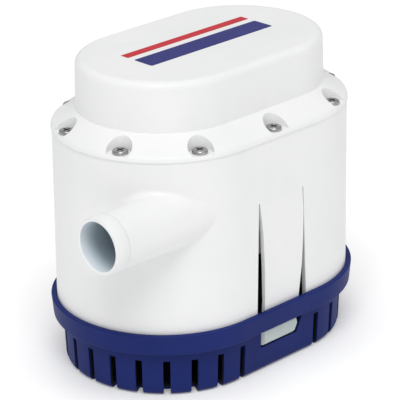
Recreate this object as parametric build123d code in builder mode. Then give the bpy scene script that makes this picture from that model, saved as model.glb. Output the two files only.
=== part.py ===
from build123d import *
import math
import os

os.makedirs("parts", exist_ok=True)

# ---------------------------------------------------------------- dimensions
# millimetres, +Z up, X along the oval, origin in the middle of the underside

S = 27.0                    # half the straight side of every oval section

# strainer base
R_FLOOR = 53.2              # outer end radius at the floor
R_LOWER = 54.3              # outer end radius just under the collar
R_CAVITY = 51.2             # inner end radius of the basket
FLOOR_T = 2.6
FLOOR_ROUND = 3.2
Z_STEP = 25.0               # underside of the collar
Z_SEAT = 27.4               # ledge that the body stands on
Z_COLLAR = 36.0             # top of the collar
R_COLLAR_LOW = 59.0
R_COLLAR_TOP = 60.0
R_COLLAR_IN = 57.35
SLOT_W = 3.6
SLOT_TOP = 19.4
SLOT_PITCH = {-1: (13, 15.3), 1: (12, 15.9)}   # per end: how many, degrees apart
WINDOW_LOW = 13.4
HULL_HOLE_X = 80.0          # hole spacing for the screws into the boat
HULL_HOLE_Y = 50.0
HULL_HOLE_R = 3.0

# body
R_BODY_LOW = 57.0
R_BODY_TOP = 56.5
R_WET = 54.2                # inside of the wall
Z_BODY_TOP = 127.6
Z_DECK = 64.0               # underside of the bulkhead
DECK_T = 3.0
Z_RIM = 123.8               # underside of the rim that the cover sits on
R_RIM_IN = 45.0
SCREW_R = 51.4              # end radius of the ring of cover screws
SCREW_ANGLES = (22.4, 66.5)

# discharge
Y_OUT = -39.4
Z_OUT = 96.7
X_MOUTH = -109.0
X_RISER = -31.5
OUT_R = 14.3
X_HOSE_END = -84.0          # the straight part of the spigot ends here
X_ROOT = -40.0              # the spigot's inner end, where the elbow meets it
ROOT_R = 14.7
PATCH_R = 19.5              # the spigot's node ends here on the wall
OUT_BORE_R = 12.6
RISER_R = 14.5

# cover
R_COVER = 57.0
Z_COVER_EDGE = 129.6
R_CAP_LOW = 44.3
Z_CAP_LOW = 138.2
R_CAP_TOP = 43.7
Z_CAP_TOP = 163.8
CAP_ROUND = 3.8
POCKET_R = 6.4
POCKET_CENTRE_R = 53.2      # the pockets run out through the cover's edge

# latches
TONGUE_TOP_Z = 95.4
TONGUE_TOP_HALF = 15.0
TONGUE_LEFT = ((95.4, -15.4), (77.0, -13.4), (58.0, -12.5), (33.0, -12.0))
TONGUE_RIGHT = ((33.0, 12.6), (42.0, 13.5), (54.0, 14.8), (68.0, 15.5), (82.0, 15.9), (95.4, 15.5))
SLIT_TOP = (-16.1, 16.1)     # ends of the slit opening at its top, near latch
SLIT_LOW = (-17.95, 18.8)
PAD_LEFT = -11.4
PAD_RIGHT = 13.9
PAD_LOW = 14.8
PAD_TOP = 24.7
TONGUE_OUT = 56.85
TONGUE_OUT_TOP = 56.66
TONGUE_IN = 54.4
TONGUE_IN_TOP = 54.9

# motor and pump, on one vertical axis
MX, MY = -12.0, 4.0
SHAFT_R = 3.0
CAN_R = 29.0
CAN_IN = 27.4
CAN_LOW = 70.0
CAN_TOP = 130.0
Z_VOLUTE = 48.0             # height of the discharge of the pump chamber

# float switch
FX, FZ = 35.0, 50.0         # pivot
FLOAT_HALF = 14.0


def axis_at(x, y, z, direction):
    """Plane whose normal is the wanted axis, through one point."""
    return Plane(origin=(x, y, z), z_dir=direction)


cover_screw_xy = [(0.0, -SCREW_R), (0.0, SCREW_R)]
pocket_xy = [(0.0, -POCKET_CENTRE_R), (0.0, POCKET_CENTRE_R)]
for side in (-1, 1):
    for ang in (-SCREW_ANGLES[1], -SCREW_ANGLES[0], SCREW_ANGLES[0], SCREW_ANGLES[1]):
        a = math.radians(ang)
        cover_screw_xy.append((side * (S + SCREW_R * math.cos(a)), SCREW_R * math.sin(a)))
        pocket_xy.append((side * (S + POCKET_CENTRE_R * math.cos(a)), POCKET_CENTRE_R * math.sin(a)))

volute_ear_xy = []
for ang, r in ((20, 41.0), (110, 39.5), (200, 37.0)):
    a = math.radians(ang)
    volute_ear_xy.append((MX + r * math.cos(a), MY + r * math.sin(a)))

motor_ear_xy = []
for ang in (150, 330):
    a = math.radians(ang)
    motor_ear_xy.append((MX + 33.5 * math.cos(a), MY + 33.5 * math.sin(a)))

board_xy = [(30.0, -18.0), (30.0, 18.0), (62.0, -18.0), (62.0, 18.0)]
BOARD_Z = 80.0

# ------------------------------------------------------------- strainer base
with BuildPart() as strainer_base:
    with BuildSketch(Plane.XY):
        SlotCenterToCenter(2 * S, 2 * R_FLOOR)
    with BuildSketch(Plane.XY.offset(Z_STEP)):
        SlotCenterToCenter(2 * S, 2 * R_LOWER)
    loft()
    fillet(strainer_base.edges().group_by(Axis.Z)[0], FLOOR_ROUND)
    with BuildSketch(Plane.XY.offset(Z_STEP)):
        SlotCenterToCenter(2 * S, 2 * R_COLLAR_LOW)
    with BuildSketch(Plane.XY.offset(Z_COLLAR)):
        SlotCenterToCenter(2 * S, 2 * R_COLLAR_TOP)
    loft()
    # the collar's lower and upper outer edges are softened
    fillet(
        strainer_base.edges().filter_by(
            lambda e: abs(e.bounding_box().min.Z - Z_STEP) < 0.01
            and abs(e.bounding_box().max.Z - Z_STEP) < 0.01
            and max(abs(e.bounding_box().max.Y), abs(e.bounding_box().min.Y)) > R_COLLAR_LOW - 0.2
        ),
        0.9,
    )
    fillet(strainer_base.edges().group_by(Axis.Z)[-1], 0.7)
    # basket and seat
    with BuildSketch(Plane.XY.offset(FLOOR_T)):
        SlotCenterToCenter(2 * S, 2 * R_CAVITY)
    extrude(amount=Z_COLLAR, mode=Mode.SUBTRACT)
    with BuildSketch(Plane.XY.offset(Z_SEAT)):
        SlotCenterToCenter(2 * S, 2 * R_COLLAR_IN)
    extrude(amount=20, mode=Mode.SUBTRACT)
    # intake slots round both ends, open through the bottom edge
    for side in (-1, 1):
        with BuildSketch(Plane.XY.offset(-1)):
            with Locations((side * S, 0)):
                count, pitch = SLOT_PITCH[side]
                for k in range(count):
                    turn = (180 if side < 0 else 0) + (k - (count - 1) / 2) * pitch
                    with PolarLocations(52.5, 1, start_angle=turn):
                        Rectangle(13.0, SLOT_W)
        extrude(amount=SLOT_TOP + 1, mode=Mode.SUBTRACT)
    # a window in each long side for the latch pad, with one slanted end; the
    # base fits either way round, so the far window is the near one turned half round
    for side in (-1, 1):
        with BuildSketch(Plane.XZ.offset(57.25 if side < 0 else -48.0)):
            with BuildLine():
                Polyline(
                    (side * 12.2, Z_SEAT + 0.5),
                    (side * 12.2, WINDOW_LOW),
                    (-side * 14.6, WINDOW_LOW),
                    (-side * 18.4, 22.2),
                    (-side * 18.4, Z_SEAT + 0.5),
                    close=True,
                )
            make_face()
        extrude(amount=-9.25, mode=Mode.SUBTRACT)
    # catch rib inside the collar, over each window
    for side in (-1, 1):
        with BuildSketch(Plane.XY.offset(29.2)):
            with Locations((0, side * (R_COLLAR_IN - 0.1))):
                Rectangle(20.0, 2.2)
        extrude(amount=2.2)
    # raised seats and holes for the screws into the boat
    with BuildSketch(Plane.XY.offset(FLOOR_T)):
        with GridLocations(HULL_HOLE_X, HULL_HOLE_Y, 2, 2):
            Circle(6.0)
    extrude(amount=1.8)
    with Locations((0, 0, FLOOR_T + 1.8)):
        with GridLocations(HULL_HOLE_X, HULL_HOLE_Y, 2, 2):
            Hole(HULL_HOLE_R, depth=10)
    # stiffening ribs on the floor
    with BuildSketch(Plane.XY.offset(FLOOR_T)):
        Rectangle(100.0, 2.0)
        with Locations((-30, 0), (0, 0), (30, 0)):
            Rectangle(2.0, 76.0)
    extrude(amount=3.0)

strainer_base.part.label = "strainer_base"
export_step(strainer_base.part, "parts/strainer_base.step")

# ---------------------------------------------------------------- body shell
GX = S + 56.0 * math.cos(math.radians(45))
GY = 56.0 * math.sin(math.radians(45))
GZ = 104.0
GDIR = (math.cos(math.radians(45)), math.sin(math.radians(45)), 0)

with BuildPart() as body_shell:
    with BuildSketch(Plane.XY.offset(Z_SEAT)):
        SlotCenterToCenter(2 * S, 2 * R_BODY_LOW)
    with BuildSketch(Plane.XY.offset(Z_BODY_TOP)):
        SlotCenterToCenter(2 * S, 2 * R_BODY_TOP)
    loft()
    # round seat for the cable gland
    with BuildSketch(Plane(origin=(S + 48.0 * GDIR[0], 48.0 * GDIR[1], GZ), z_dir=GDIR)):
        Circle(9.5)
    extrude(amount=10.0)
    # discharge spigot: straight where the hose sits, then thickening into the wall
    with BuildSketch(axis_at(X_HOSE_END, Y_OUT, Z_OUT, (-1, 0, 0))):
        Circle(OUT_R)
    extrude(amount=X_HOSE_END - X_MOUTH)
    with BuildSketch(axis_at(X_HOSE_END, Y_OUT, Z_OUT, (1, 0, 0))):
        Circle(OUT_R)
    with BuildSketch(axis_at(X_ROOT, Y_OUT, Z_OUT, (1, 0, 0))):
        Circle(ROOT_R)
    loft()
    # hollow inside, open at both ends
    with BuildSketch(Plane.XY.offset(Z_SEAT - 1)):
        SlotCenterToCenter(2 * S, 2 * R_WET)
    extrude(amount=Z_BODY_TOP - Z_SEAT + 2, mode=Mode.SUBTRACT)
    # the spigot's tube goes on through the wall to the elbow
    with BuildSketch(axis_at(X_HOSE_END, Y_OUT, Z_OUT, (1, 0, 0))):
        Circle(OUT_R)
    with BuildSketch(axis_at(X_ROOT, Y_OUT, Z_OUT, (1, 0, 0))):
        Circle(ROOT_R)
    loft()
    with BuildSketch(axis_at(X_ROOT + 1, Y_OUT, Z_OUT, (-1, 0, 0))):
        Circle(OUT_BORE_R)
    extrude(amount=X_ROOT - X_MOUTH + 2, mode=Mode.SUBTRACT)
    # the slits that free each latch from the wall
    for side in (-1, 1):
        with BuildSketch(Plane.XZ.offset(58.0 if side < 0 else -53.0)):
            with BuildLine():
                Polyline(
                    (-side * SLIT_LOW[0], Z_SEAT - 1),
                    (-side * SLIT_LOW[1], Z_SEAT - 1),
                    (-side * SLIT_TOP[1], TONGUE_TOP_Z + 0.25),
                    (-side * SLIT_TOP[0], TONGUE_TOP_Z + 0.25),
                    close=True,
                )
            make_face()
        extrude(amount=-5.0, mode=Mode.SUBTRACT)
    # gland hole
    with BuildSketch(Plane(origin=(S + 40.0 * GDIR[0], 40.0 * GDIR[1], GZ), z_dir=GDIR)):
        Circle(12.0)
    extrude(amount=13.2, mode=Mode.SUBTRACT)
    with BuildSketch(Plane(origin=(S + 40.0 * GDIR[0], 40.0 * GDIR[1], GZ), z_dir=GDIR)):
        Circle(5.5)
    extrude(amount=25.0, mode=Mode.SUBTRACT)
    # soft root where the spigot leaves the wall
    def at_spigot_root(e):
        for t in (0.1, 0.5, 0.9):
            p = e.position_at(t)
            off = math.hypot(p.Y - Y_OUT, p.Z - Z_OUT)
            end = math.hypot(abs(p.X) - S, p.Y) if abs(p.X) > S else abs(p.Y)
            if not (OUT_R - 0.1 < off < ROOT_R + 0.1 and 56.2 < end < 57.1 and p.X > X_HOSE_END):
                return False
        return True

    fillet(body_shell.edges().filter_by(at_spigot_root), 3.5)
    # thin lip at the mouth of the spigot
    fillet(
        body_shell.edges().filter_by(GeomType.CIRCLE).group_by(Axis.X)[0],
        0.55,
    )

# the spigot, with its soft root and the patch of wall it stands on, is a node of its own
with BuildPart() as hose_spigot:
    add(body_shell.part)
    with BuildSketch(axis_at(X_ROOT, Y_OUT, Z_OUT, (-1, 0, 0))):
        Circle(PATCH_R)
    extrude(amount=80.0, mode=Mode.INTERSECT)
hose_spigot.part.label = "hose_spigot"
export_step(hose_spigot.part, "parts/hose_spigot.step")

with BuildPart() as wall:
    add(body_shell.part)
    with BuildSketch(axis_at(X_ROOT, Y_OUT, Z_OUT, (-1, 0, 0))):
        Circle(PATCH_R)
    extrude(amount=80.0, mode=Mode.SUBTRACT)
# two round ends and two flat sides, which meet face to face
for name, x0, x1, y0, y1 in (
    ("body_end_spigot", -120.0, -S, -80.0, 80.0),
    ("body_end_far", S, 120.0, -80.0, 80.0),
    ("body_side_front", -S, S, -80.0, 0.0),
    ("body_side_rear", -S, S, 0.0, 80.0),
):
    with BuildPart() as piece:
        add(wall.part)
        with BuildSketch(Plane.XY):
            with Locations(((x0 + x1) / 2, (y0 + y1) / 2)):
                Rectangle(x1 - x0, y1 - y0)
        extrude(amount=200.0, mode=Mode.INTERSECT)
    piece.part.label = name
    export_step(piece.part, "parts/" + name + ".step")

# ------------------------------------------------- rim that carries the cover
with BuildPart() as body_rim:
    with BuildSketch(Plane.XY.offset(Z_RIM)):
        SlotCenterToCenter(2 * S, 2 * R_WET)
        SlotCenterToCenter(2 * S, 2 * R_RIM_IN, mode=Mode.SUBTRACT)
    extrude(amount=Z_BODY_TOP - Z_RIM)
    # screw bosses under the rim
    with BuildSketch(Plane.XY.offset(108.0)):
        with Locations(*cover_screw_xy):
            Circle(4.2)
    extrude(amount=Z_RIM - 108.0 + 0.5)
    with BuildSketch(Plane.XY.offset(100.0)):
        SlotCenterToCenter(2 * S, 2 * R_WET)
    extrude(amount=40.0, mode=Mode.INTERSECT)
    with BuildSketch(Plane.XY.offset(111.0)):
        with Locations(*cover_screw_xy):
            Circle(1.9)
    extrude(amount=20.0, mode=Mode.SUBTRACT)
    # groove for the gasket, inside the ring of screws
    with BuildSketch(Plane.XY.offset(Z_BODY_TOP - 1.5)):
        SlotCenterToCenter(2 * S, 2 * 48.6)
        SlotCenterToCenter(2 * S, 2 * 46.6, mode=Mode.SUBTRACT)
    extrude(amount=3.0, mode=Mode.SUBTRACT)
    # room for the spigot's tube where it comes through the wall
    with BuildSketch(axis_at(X_ROOT + 2, Y_OUT, Z_OUT, (-1, 0, 0))):
        Circle(ROOT_R + 0.1)
    extrude(amount=60.0, mode=Mode.SUBTRACT)
body_rim.part.label = "body_rim"
export_step(body_rim.part, "parts/body_rim.step")

# ------------------------------------------------------------------- bulkhead
with BuildPart() as bulkhead:
    with BuildSketch(Plane.XY.offset(Z_DECK)):
        SlotCenterToCenter(2 * S, 2 * R_WET)
    extrude(amount=DECK_T)
    # walls round the water-side pocket behind each latch
    for side in (-1, 1):
        with BuildSketch(Plane.XY.offset(Z_DECK)):
            with Locations((0, side * (R_WET + 47.2) / 2)):
                Rectangle(38.4, R_WET - 47.2)
        extrude(amount=35.0)
        with BuildSketch(Plane.XY.offset(Z_DECK - 1)):
            with Locations((0, side * 51.9)):
                Rectangle(35.6, 5.0)
        extrude(amount=33.6, mode=Mode.SUBTRACT)
    # way up for the water
    with BuildSketch(Plane.XY.offset(Z_DECK - 1)):
        with Locations((X_RISER, Y_OUT)):
            Circle(OUT_BORE_R)
    extrude(amount=DECK_T + 2, mode=Mode.SUBTRACT)
    # motor seat and seal housing
    with BuildSketch(Plane.XY.offset(Z_DECK + DECK_T)):
        with Locations((MX, MY)):
            Circle(CAN_R)
            Circle(24.5, mode=Mode.SUBTRACT)
    extrude(amount=3.0)
    with BuildSketch(Plane.XY.offset(Z_DECK)):
        with Locations((MX, MY)):
            Circle(11.0)
    extrude(amount=5.6)
    with BuildSketch(Plane.XY.offset(Z_DECK + 1.4)):
        with Locations((MX, MY)):
            Circle(8.0)
    extrude(amount=10.0, mode=Mode.SUBTRACT)
    with BuildSketch(Plane.XY.offset(Z_DECK - 1)):
        with Locations((MX, MY)):
            Circle(4.6)
    extrude(amount=5.0, mode=Mode.SUBTRACT)
    # bosses: motor, pump chamber, board
    with BuildSketch(Plane.XY.offset(Z_DECK)):
        with Locations(*motor_ear_xy):
            Circle(4.6)
    extrude(amount=CAN_LOW - Z_DECK)
    with BuildSketch(Plane.XY.offset(Z_DECK)):
        with Locations(*volute_ear_xy):
            Circle(4.2)
    extrude(amount=8.0)
    with BuildSketch(Plane.XY.offset(Z_DECK + 1)):
        with Locations(*board_xy):
            Circle(3.2)
    extrude(amount=BOARD_Z - Z_DECK - 1)
    # bracket that carries the float's pin
    for side in (-1, 1):
        with BuildSketch(Plane.XZ.offset(-15.4 if side > 0 else 18.4)):
            with BuildLine():
                Polyline(
                    (FX - 4.0, Z_DECK + 1), (FX - 4.0, FZ), (FX - 2.5, FZ - 4.0),
                    (FX + 2.5, FZ - 4.0), (FX + 4.5, FZ), (FX + 4.5, Z_DECK + 1), close=True,
                )
            make_face()
        extrude(amount=-3.0)
    with BuildSketch(axis_at(FX, 0, FZ, (0, 1, 0))):
        Circle(1.5)
    extrude(amount=25.0, both=True, mode=Mode.SUBTRACT)
    with BuildSketch(Plane.XY.offset(Z_DECK - 1)):
        with Locations(*volute_ear_xy):
            Circle(1.6)
    extrude(amount=7.0, mode=Mode.SUBTRACT)
    with BuildSketch(Plane.XY.offset(Z_DECK + 1.2)):
        with Locations(*motor_ear_xy):
            Circle(1.9)
    extrude(amount=10.0, mode=Mode.SUBTRACT)
    with BuildSketch(Plane.XY.offset(BOARD_Z - 8)):
        with Locations(*board_xy):
            Circle(1.2)
    extrude(amount=10.0, mode=Mode.SUBTRACT)
bulkhead.part.label = "bulkhead"
export_step(bulkhead.part, "parts/bulkhead.step")

# ------------------------------------------------------------ discharge elbow
with BuildPart() as discharge_elbow:
    with BuildSketch(Plane.XY.offset(Z_DECK + DECK_T)):
        with Locations((X_RISER, Y_OUT)):
            Circle(RISER_R)
    extrude(amount=Z_OUT - Z_DECK - DECK_T)
    with Locations((X_RISER, Y_OUT, Z_OUT)):
        Sphere(RISER_R)
    with BuildSketch(axis_at(X_RISER, Y_OUT, Z_OUT, (-1, 0, 0))):
        Circle(RISER_R)
    extrude(amount=X_RISER - X_ROOT)
    with BuildSketch(Plane.XY.offset(Z_DECK + DECK_T - 1)):
        with Locations((X_RISER, Y_OUT)):
            Circle(OUT_BORE_R)
    extrude(amount=Z_OUT - Z_DECK - DECK_T + 1, mode=Mode.SUBTRACT)
    with Locations((X_RISER, Y_OUT, Z_OUT)):
        Sphere(OUT_BORE_R, mode=Mode.SUBTRACT)
    with BuildSketch(axis_at(X_RISER, Y_OUT, Z_OUT, (-1, 0, 0))):
        Circle(OUT_BORE_R)
    extrude(amount=X_RISER - X_ROOT + 1, mode=Mode.SUBTRACT)
    # room for the end of the spigot's own tube
    with BuildSketch(axis_at(X_ROOT, Y_OUT, Z_OUT, (-1, 0, 0))):
        Circle(ROOT_R + 0.03)
    extrude(amount=20.0, mode=Mode.SUBTRACT)
    # it stays inside the body's wall
    with BuildSketch(Plane.XY.offset(Z_DECK)):
        SlotCenterToCenter(2 * S, 2 * R_WET)
    extrude(amount=60.0, mode=Mode.INTERSECT)
discharge_elbow.part.label = "discharge_elbow"
export_step(discharge_elbow.part, "parts/discharge_elbow.step")

# -------------------------------------------------------------------- latches
for side, latch_name in ((-1, "latch_front"), (1, "latch_rear")):
    with BuildPart() as latch:
        # section through the tongue: slightly bowed blade, catch groove, pad
        with BuildSketch(Plane.YZ):
            with BuildLine():
                Line((-TONGUE_OUT_TOP, TONGUE_TOP_Z), (-TONGUE_IN_TOP, TONGUE_TOP_Z))
                Line((-TONGUE_IN_TOP, TONGUE_TOP_Z), (-TONGUE_IN_TOP, 40.0))
                Line((-TONGUE_IN_TOP, 40.0), (-TONGUE_IN, 35.0))
                Line((-TONGUE_IN, 35.0), (-TONGUE_IN, 27.0))
                Line((-TONGUE_IN, 27.0), (-51.0, 24.2))
                Line((-51.0, 24.2), (-51.0, PAD_LOW))
                Line((-51.0, PAD_LOW), (-54.9, PAD_LOW))
                Line((-54.9, PAD_LOW), (-54.9, 22.0))
                Line((-54.9, 22.0), (-53.8, 23.5))
                Line((-53.8, 23.5), (-53.9, PAD_TOP))
                Line((-53.9, PAD_TOP), (-54.6, 25.8))
                Line((-54.6, 25.8), (-TONGUE_OUT, 27.2))
                Line((-TONGUE_OUT, 27.2), (-TONGUE_OUT, 28.8))
                Line((-TONGUE_OUT, 28.8), (-55.7, 28.8))
                Line((-55.7, 28.8), (-55.7, 32.0))
                Line((-55.7, 32.0), (-TONGUE_OUT, 33.4))
                Line((-TONGUE_OUT, 33.4), (-TONGUE_OUT, 37.0))
                ThreePointArc((-TONGUE_OUT, 37.0), (-TONGUE_OUT - 0.45, 64.0), (-TONGUE_OUT_TOP, TONGUE_TOP_Z))
            make_face()
        extrude(amount=20.0, both=True)
        # outline seen from the side: blade narrowing downwards, pad below with a
        # pointed end
        with BuildSketch(Plane.XZ.offset(60.0)):
            with BuildLine():
                Polyline(
                    (-TONGUE_TOP_HALF, TONGUE_TOP_Z + 1),
                    *[(x, z) for z, x in TONGUE_LEFT],
                    (PAD_LEFT, 25.2),
                    (PAD_LEFT, PAD_LOW),
                    (PAD_RIGHT - 2.4, PAD_LOW),
                    (PAD_RIGHT, 19.4),
                    (PAD_RIGHT - 1.4, 25.2),
                    *[(x, z) for z, x in TONGUE_RIGHT],
                    (TONGUE_TOP_HALF, TONGUE_TOP_Z + 1),
                    close=True,
                )
            make_face()
        extrude(amount=-12.0, mode=Mode.INTERSECT)
        # the pad's front face is bevelled towards its left end
        with BuildSketch(Plane.XY.offset(10.0)):
            with BuildLine():
                Polyline(
                    (PAD_LEFT + 1.5, -55.4),
                    (PAD_LEFT - 1.0, -55.4),
                    (PAD_LEFT - 1.0, -53.3),
                    (PAD_LEFT, -53.3),
                    close=True,
                )
            make_face()
        extrude(amount=14.9, mode=Mode.SUBTRACT)
        # and along its lower edge
        with BuildSketch(Plane.YZ):
            with BuildLine():
                Polyline((-55.4, PAD_LOW - 1), (-55.4, PAD_LOW + 1.0), (-54.9, PAD_LOW + 1.0), (-54.1, PAD_LOW), (-54.1, PAD_LOW - 1), close=True)
            make_face()
        extrude(amount=20.0, both=True, mode=Mode.SUBTRACT)
    if side > 0:
        # the far latch is the near one turned half round
        turned = latch.part.rotate(Axis.Z, 180)
        latch = BuildPart()
        with latch:
            add(turned)
    latch.part.label = latch_name
    export_step(latch.part, "parts/" + latch_name + ".step")

# ---------------------------------------------------------------- motor cover
with BuildPart() as motor_cover:
    with BuildSketch(Plane.XY.offset(Z_BODY_TOP)):
        SlotCenterToCenter(2 * S, 2 * R_COVER)
    extrude(amount=Z_COVER_EDGE - Z_BODY_TOP)
    with BuildSketch(Plane.XY.offset(Z_COVER_EDGE)):
        SlotCenterToCenter(2 * S, 2 * R_COVER)
    with BuildSketch(Plane.XY.offset(Z_CAP_LOW)):
        SlotCenterToCenter(2 * S, 2 * R_CAP_LOW)
    loft()
    fillet(
        motor_cover.edges().filter_by(
            lambda e: abs(e.bounding_box().min.Z - Z_COVER_EDGE) < 0.01
            and abs(e.bounding_box().max.Z - Z_COVER_EDGE) < 0.01
        ),
        3.6,
    )
    with BuildSketch(Plane.XY.offset(Z_CAP_LOW - 3)):
        SlotCenterToCenter(2 * S, 2 * (R_CAP_LOW + 0.08))
    with BuildSketch(Plane.XY.offset(Z_CAP_TOP)):
        SlotCenterToCenter(2 * S, 2 * (R_CAP_TOP - 0.1))
    loft()
    fillet(motor_cover.edges().group_by(Axis.Z)[-1], CAP_ROUND)
    # inside of the cover
    with BuildSketch(Plane.XY.offset(Z_BODY_TOP - 1)):
        SlotCenterToCenter(2 * S, 2 * 41.6)
    extrude(amount=Z_CAP_TOP - 2.8 - Z_BODY_TOP + 1, mode=Mode.SUBTRACT)
    # flat-bottomed pockets and holes for the screws
    with BuildSketch(Plane.XY.offset(Z_COVER_EDGE)):
        with Locations(*pocket_xy):
            Circle(POCKET_R)
    extrude(amount=9.4, taper=-4.0, mode=Mode.SUBTRACT)
    with BuildSketch(Plane.XY.offset(Z_BODY_TOP - 1)):
        with Locations(*cover_screw_xy):
            Circle(2.15)
    extrude(amount=10.0, mode=Mode.SUBTRACT)

motor_cover.part.label = "motor_cover"
export_step(motor_cover.part, "parts/motor_cover.step")

# --------------------------------------------------------------- cover gasket
with BuildPart() as cover_gasket:
    with BuildSketch(Plane.XY.offset(Z_BODY_TOP - 1.5)):
        SlotCenterToCenter(2 * S, 2 * 48.5)
        SlotCenterToCenter(2 * S, 2 * 46.7, mode=Mode.SUBTRACT)
    extrude(amount=1.5)
cover_gasket.part.label = "cover_gasket"
export_step(cover_gasket.part, "parts/cover_gasket.step")

# --------------------------------------------------------------- cover screws
with BuildPart() as cover_screws:
    with BuildSketch(Plane.XY.offset(Z_COVER_EDGE)):
        with Locations(*cover_screw_xy):
            Circle(4.0)
    extrude(amount=1.9)
    fillet(cover_screws.edges().group_by(Axis.Z)[-1], 0.9)
    with BuildSketch(Plane.XY.offset(Z_COVER_EDGE + 2.0)):
        with Locations(*cover_screw_xy):
            Rectangle(4.6, 1.0)
            Rectangle(1.0, 4.6)
    extrude(amount=-1.3, mode=Mode.SUBTRACT)
    with BuildSketch(Plane.XY.offset(112.0)):
        with Locations(*cover_screw_xy):
            Circle(1.9)
    extrude(amount=Z_COVER_EDGE - 112.0)
cover_screws.part.label = "cover_screws"
export_step(cover_screws.part, "parts/cover_screws.step")

# ---------------------------------------------------------------- cable gland
with BuildPart() as cable_gland:
    gp = Plane(origin=(S, 0, GZ), x_dir=(0, 0, 1), z_dir=(-GDIR[1], GDIR[0], 0))
    # drawn in the plane holding the gland's axis: local x is up, local y is outward
    with BuildSketch(gp):
        with BuildLine():
            Polyline(
                (3.3, 50.2), (7.8, 50.2), (7.8, 53.2), (5.5, 53.2), (5.5, 58.0),
                (8.2, 58.0), (8.2, 61.2), (6.6, 62.0), (5.4, 69.0), (3.3, 69.6), close=True,
            )
        make_face()
    revolve(axis=Axis((S, 0, GZ), (GDIR[0], GDIR[1], 0)), revolution_arc=360)
cable_gland.part.label = "cable_gland"
export_step(cable_gland.part, "parts/cable_gland.step")

# ------------------------------------------------------------- pump chamber
# spiral wall that grows in the direction of turning, then a widening duct that
# runs tangentially to the foot of the riser
tan_r = 29.0
px, py = X_RISER - MX, Y_OUT - MY
p_len = math.hypot(px, py)
phi_t = math.atan2(py, px) + math.acos(tan_r / p_len)
TX, TY = MX + tan_r * math.cos(phi_t), MY + tan_r * math.sin(phi_t)
duct_len = math.hypot(X_RISER - TX, Y_OUT - TY)
duct_dir = ((X_RISER - TX) / duct_len, (Y_OUT - TY) / duct_len, 0)


def spiral_points(extra):
    pts = []
    for i in range(25):
        t = i / 24.0
        ang = phi_t - math.radians(20) - t * math.radians(335)
        r = 28.2 + 7.6 * t + extra
        pts.append((MX + r * math.cos(ang), MY + r * math.sin(ang)))
    return pts


outer_spiral = spiral_points(2.4)
inner_spiral = spiral_points(0.0)

with BuildPart() as volute_casing:
    with BuildSketch(Plane.XY.offset(40.5)):
        with BuildLine():
            Spline(*outer_spiral)
            Line(outer_spiral[-1], outer_spiral[0])
        make_face()
    extrude(amount=18.0)
    # ears with their columns up to the bulkhead
    for ex, ey in volute_ear_xy:
        ang = math.degrees(math.atan2(ey - MY, ex - MX))
        with BuildSketch(Plane.XY.offset(40.5)):
            with Locations(Location(((ex + MX) / 2 + (ex - MX) * 0.22, (ey + MY) / 2 + (ey - MY) * 0.22, 0), (0, 0, ang))):
                Rectangle(22.0, 6.0)
        extrude(amount=18.0)
        with BuildSketch(Plane.XY.offset(40.5)):
            with Locations((ex, ey)):
                Circle(4.2)
        extrude(amount=Z_DECK - 40.5)
    # widening duct
    with BuildSketch(Plane(origin=(TX, TY, Z_VOLUTE), z_dir=duct_dir)):
        Circle(8.8)
    with BuildSketch(Plane(origin=(X_RISER, Y_OUT, Z_VOLUTE), z_dir=duct_dir)):
        Circle(RISER_R - 0.05)
    loft()
    with Locations((X_RISER, Y_OUT, Z_VOLUTE)):
        Sphere(RISER_R)
    with BuildSketch(Plane.XY.offset(Z_VOLUTE)):
        with Locations((X_RISER, Y_OUT)):
            Circle(RISER_R)
    extrude(amount=Z_DECK - 1.6 - Z_VOLUTE)
    # hollows: chamber, duct, elbow, stub
    with BuildSketch(Plane.XY.offset(40.4)):
        with BuildLine():
            Spline(*inner_spiral)
            Line(inner_spiral[-1], inner_spiral[0])
        make_face()
    extrude(amount=15.6, mode=Mode.SUBTRACT)
    with BuildSketch(Plane(origin=(TX - 6 * duct_dir[0], TY - 6 * duct_dir[1], Z_VOLUTE), z_dir=duct_dir)):
        Circle(5.6)
    with BuildSketch(Plane(origin=(X_RISER, Y_OUT, Z_VOLUTE), z_dir=duct_dir)):
        Circle(OUT_BORE_R - 0.05)
    loft(mode=Mode.SUBTRACT)
    with Locations((X_RISER, Y_OUT, Z_VOLUTE)):
        Sphere(OUT_BORE_R, mode=Mode.SUBTRACT)
    with BuildSketch(Plane.XY.offset(Z_VOLUTE)):
        with Locations((X_RISER, Y_OUT)):
            Circle(OUT_BORE_R)
    extrude(amount=20.0, mode=Mode.SUBTRACT)
    # shaft passage and screw holes
    with BuildSketch(Plane.XY.offset(50.0)):
        with Locations((MX, MY)):
            Circle(6.2)
    extrude(amount=15.0, mode=Mode.SUBTRACT)
    with BuildSketch(Plane.XY.offset(40.0)):
        with Locations(*volute_ear_xy):
            Circle(1.6)
    extrude(amount=30.0, mode=Mode.SUBTRACT)
volute_casing.part.label = "volute_casing"
export_step(volute_casing.part, "parts/volute_casing.step")

with BuildPart() as volute_seal:
    with BuildSketch(Plane.XY.offset(Z_DECK - 1.6)):
        with Locations((X_RISER, Y_OUT)):
            Circle(RISER_R - 0.1)
            Circle(OUT_BORE_R, mode=Mode.SUBTRACT)
    extrude(amount=1.6)
volute_seal.part.label = "volute_seal"
export_step(volute_seal.part, "parts/volute_seal.step")

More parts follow.
